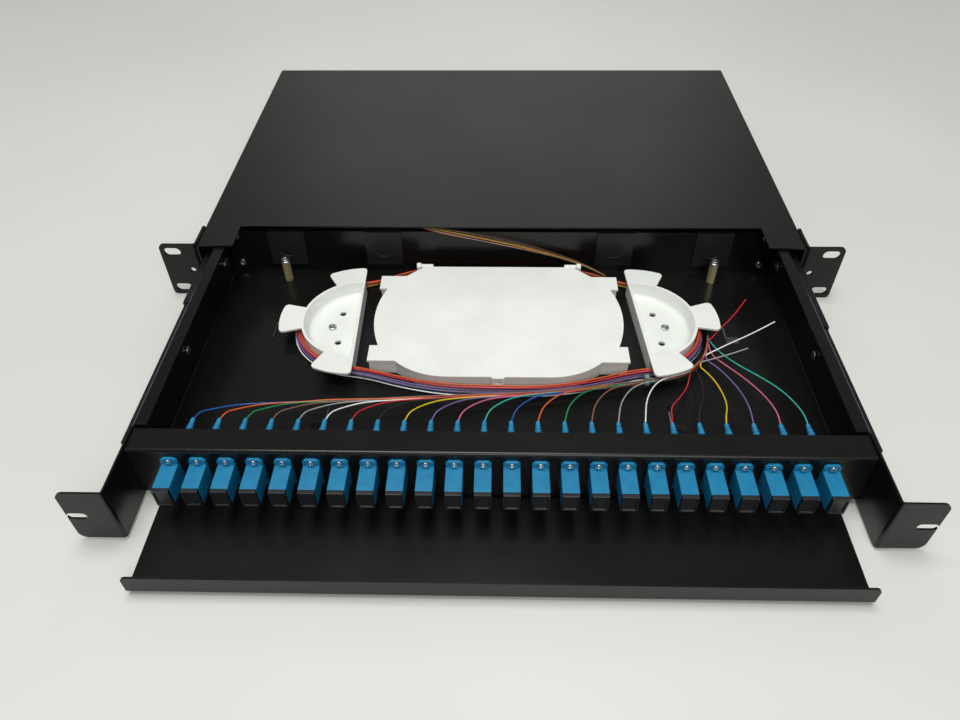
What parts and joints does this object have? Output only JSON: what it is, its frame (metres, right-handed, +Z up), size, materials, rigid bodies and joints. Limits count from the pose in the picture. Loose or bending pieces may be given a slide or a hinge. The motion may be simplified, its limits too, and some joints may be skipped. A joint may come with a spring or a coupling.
{
  "type": "fibre termination box",
  "caption": "One-unit rack drawer box for terminating optical fibre: steel case, sliding drawer, row of capped adapters, hinged splice tray, fibre spools and pigtails",
  "frame": {"origin": "middle of the front edge of the face that the case rests on, level with the front faces of the rack ears", "axes": "+Z up, +Y back into the rack, +X to the right seen from the front"},
  "size_m": [0.4826, 0.5344, 0.044],
  "materials": {
    "black_coat": "satin powder coat",
    "slide_steel": "blackened zinc plate",
    "screw_steel": "nickel plate",
    "entry_black": "fine grain",
    "adapter_blue": "moulded satin",
    "cap_smoke": "smoky moulded",
    "connector_blue": "moulded satin",
    "boot_blue": "matt",
    "tray_white": "moulded satin",
    "holder_white": "moulded",
    "post_brass": "turned",
    "sheath_white": "satin sheath",
    "tie_clear": "clear nylon",
    "fibre_blue": "satin coating",
    "fibre_orange": "satin coating",
    "fibre_green": "satin coating",
    "fibre_brown": "satin coating",
    "fibre_grey": "satin coating",
    "fibre_white": "satin coating",
    "fibre_red": "satin coating",
    "fibre_black": "satin coating",
    "fibre_yellow": "satin coating",
    "fibre_violet": "satin coating",
    "fibre_pink": "satin coating",
    "fibre_aqua": "satin coating"
  },
  "bodies": {
    "case": {"case_cover": "black_coat", "case_base": "black_coat", "rack_ear_left": "black_coat", "rack_ear_right": "black_coat", "ear_screws": "screw_steel", "case_screws": "screw_steel", "slide_case_screws": "screw_steel", "slide_outer_left": "slide_steel", "slide_outer_right": "slide_steel"},
    "slide_middle_left": {"slide_middle_left": "slide_steel"},
    "slide_middle_right": {"slide_middle_right": "slide_steel"},
    "drawer": {"drawer_tray": "black_coat", "drawer_back": "black_coat", "adapter_panel": "black_coat", "slide_inner_left": "slide_steel", "slide_inner_right": "slide_steel", "slide_drawer_screws": "screw_steel", "panel_screws": "screw_steel", "back_screws": "screw_steel", "adapter_screws": "screw_steel", "splice_tray_screws": "screw_steel", "spool_screws": "screw_steel", "standoff_screws": "screw_steel", "cable_entry_plates": "entry_black", "sc_adapters": "adapter_blue", "dust_caps": "cap_smoke", "sc_connectors": "connector_blue", "connector_boots": "boot_blue", "splice_tray_base": "tray_white", "splice_holder": "holder_white", "fibre_spool_left": "tray_white", "fibre_spool_right": "tray_white", "standoffs": "post_brass", "pigtail_bundle": "sheath_white", "fibre_loop": "sheath_white", "rear_fibres": "sheath_white", "bundle_tie": "tie_clear", "loose_end_red": "fibre_red", "loose_end_white": "fibre_white", "loose_end_brown": "fibre_brown", "pigtail_blue": "fibre_blue", "pigtail_orange": "fibre_orange", "pigtail_green": "fibre_green", "pigtail_brown": "fibre_brown", "pigtail_grey": "fibre_grey", "pigtail_white": "fibre_white", "pigtail_red": "fibre_red", "pigtail_black": "fibre_black", "pigtail_yellow": "fibre_yellow", "pigtail_violet": "fibre_violet", "pigtail_pink": "fibre_pink", "pigtail_aqua": "fibre_aqua"},
    "tray_cover": {"splice_tray_cover": "tray_white"}
  },
  "joints": [
    {"name": "drawer_slide", "type": "slide", "parent": "case", "child": "drawer", "axis": [0, 1, 0], "range_m": [0, 0.2105]},
    {"name": "middle_left_slide", "type": "slide", "parent": "case", "child": "slide_middle_left", "axis": [0, 1, 0], "range_m": [0, 0.0901]},
    {"name": "middle_right_slide", "type": "slide", "parent": "case", "child": "slide_middle_right", "axis": [0, 1, 0], "range_m": [0, 0.1101]},
    {"name": "tray_cover_hinge", "type": "hinge", "parent": "drawer", "child": "tray_cover", "pos_m": [0, 0.0159, 0.0144], "axis": [-1, 0, 0], "range_deg": [0, 12.5]}
  ],
  "couplings": [
    {"joint": "middle_left_slide", "follows": "drawer_slide", "ratio": 0.42755},
    {"joint": "middle_right_slide", "follows": "drawer_slide", "ratio": 0.52256}
  ]
}
